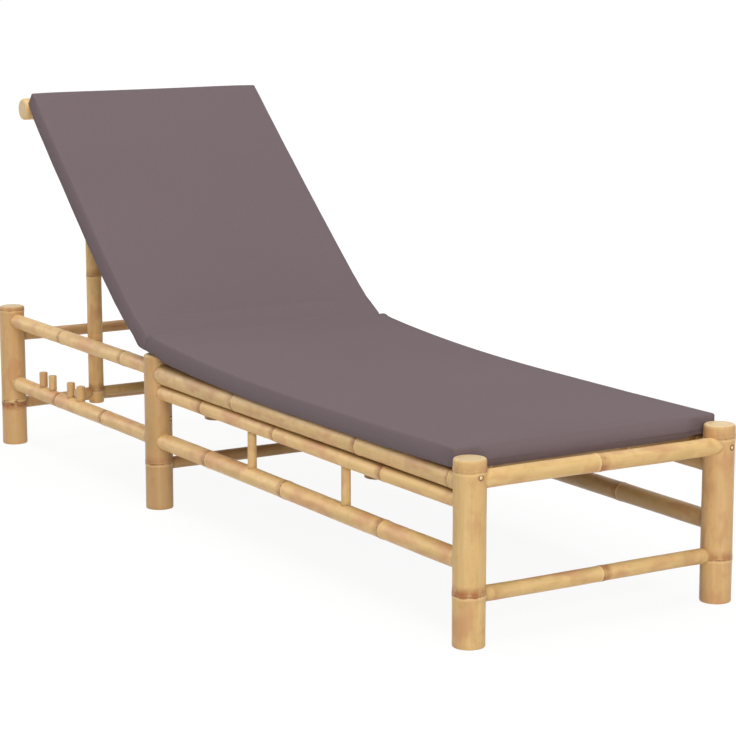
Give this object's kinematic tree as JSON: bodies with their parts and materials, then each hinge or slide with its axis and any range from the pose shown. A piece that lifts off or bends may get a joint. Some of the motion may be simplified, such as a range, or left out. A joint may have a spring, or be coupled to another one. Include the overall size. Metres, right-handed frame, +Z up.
{
  "type": "sun lounger",
  "caption": "Sun lounger jointed from round cane poles, with a lifting back held by a notched prop and a thin cushion that folds at the hinge.",
  "frame": {"origin": "centre of the footprint on the floor, at the feet", "axes": "+Z up, -Y towards the foot end, +Y towards the head end, X across the width"},
  "size_m": [0.6, 2, 0.8366],
  "materials": {
    "cane_honey": "satin varnish on peeled round cane",
    "cane_pale": "satin varnish on thinner peeled cane",
    "cane_brown": "satin varnish on darker cane",
    "dowel_wood": "plain turned dowel",
    "cover_fabric": "matte close-woven outdoor cloth"
  },
  "bodies": {
    "base": {"leg_foot_left": "cane_honey", "leg_foot_right": "cane_honey", "leg_mid_left": "cane_honey", "leg_mid_right": "cane_honey", "leg_head_left": "cane_honey", "leg_head_right": "cane_honey", "seat_rail_left": "cane_honey", "seat_rail_right": "cane_honey", "under_rail_left": "cane_honey", "under_rail_right": "cane_honey", "foot_lower_rail_left": "cane_honey", "foot_lower_rail_right": "cane_honey", "head_upper_rail_left": "cane_honey", "head_upper_rail_right": "cane_honey", "head_lower_rail_left": "cane_honey", "head_lower_rail_right": "cane_honey", "foot_upper_cross": "cane_pale", "foot_lower_cross": "cane_pale", "mid_upper_cross": "cane_pale", "mid_lower_cross": "cane_pale", "head_upper_cross": "cane_pale", "head_lower_cross": "cane_pale", "spindle_foot_left": "cane_honey", "spindle_foot_right": "cane_honey", "spindle_mid_left": "cane_honey", "spindle_mid_right": "cane_honey", "peg_1_left": "cane_honey", "peg_1_right": "cane_honey", "peg_2_left": "cane_honey", "peg_2_right": "cane_honey", "peg_3_left": "cane_honey", "peg_3_right": "cane_honey", "peg_4_left": "cane_honey", "peg_4_right": "cane_honey", "seat_slat_1": "cane_pale", "seat_slat_2": "cane_pale", "seat_slat_3": "cane_pale", "seat_slat_4": "cane_pale", "seat_slat_5": "cane_pale", "seat_slat_6": "cane_pale", "hinge_pin_left": "dowel_wood", "hinge_pin_right": "dowel_wood", "seat_cushion": "cover_fabric"},
    "backrest": {"back_stile_left": "cane_brown", "back_stile_right": "cane_brown", "back_top_bar": "cane_honey", "back_lower_rail": "cane_pale", "back_slat_1": "cane_pale", "back_slat_2": "cane_pale", "back_slat_3": "cane_pale", "back_slat_4": "cane_pale", "back_slat_5": "cane_pale", "prop_pin_left": "dowel_wood", "prop_pin_right": "dowel_wood", "back_cushion": "cover_fabric"},
    "prop": {"prop_post_left": "cane_brown", "prop_post_right": "cane_brown", "prop_foot_bar": "cane_brown", "prop_foot_end_left": "cane_brown", "prop_foot_end_right": "cane_brown"}
  },
  "joints": [
    {"name": "back_hinge", "type": "hinge", "parent": "base", "child": "backrest", "pos_m": [0, 0.204, 0.273], "axis": [1, 0, 0], "range_deg": [0, 12.5]},
    {"name": "prop_hinge", "type": "hinge", "parent": "backrest", "child": "prop", "pos_m": [0, 0.618, 0.62659], "axis": [1, 0, 0], "range_deg": [-2.25, 0]}
  ],
  "couplings": [
    {"joint": "prop_hinge", "follows": "back_hinge", "ratio": -0.18}
  ]
}
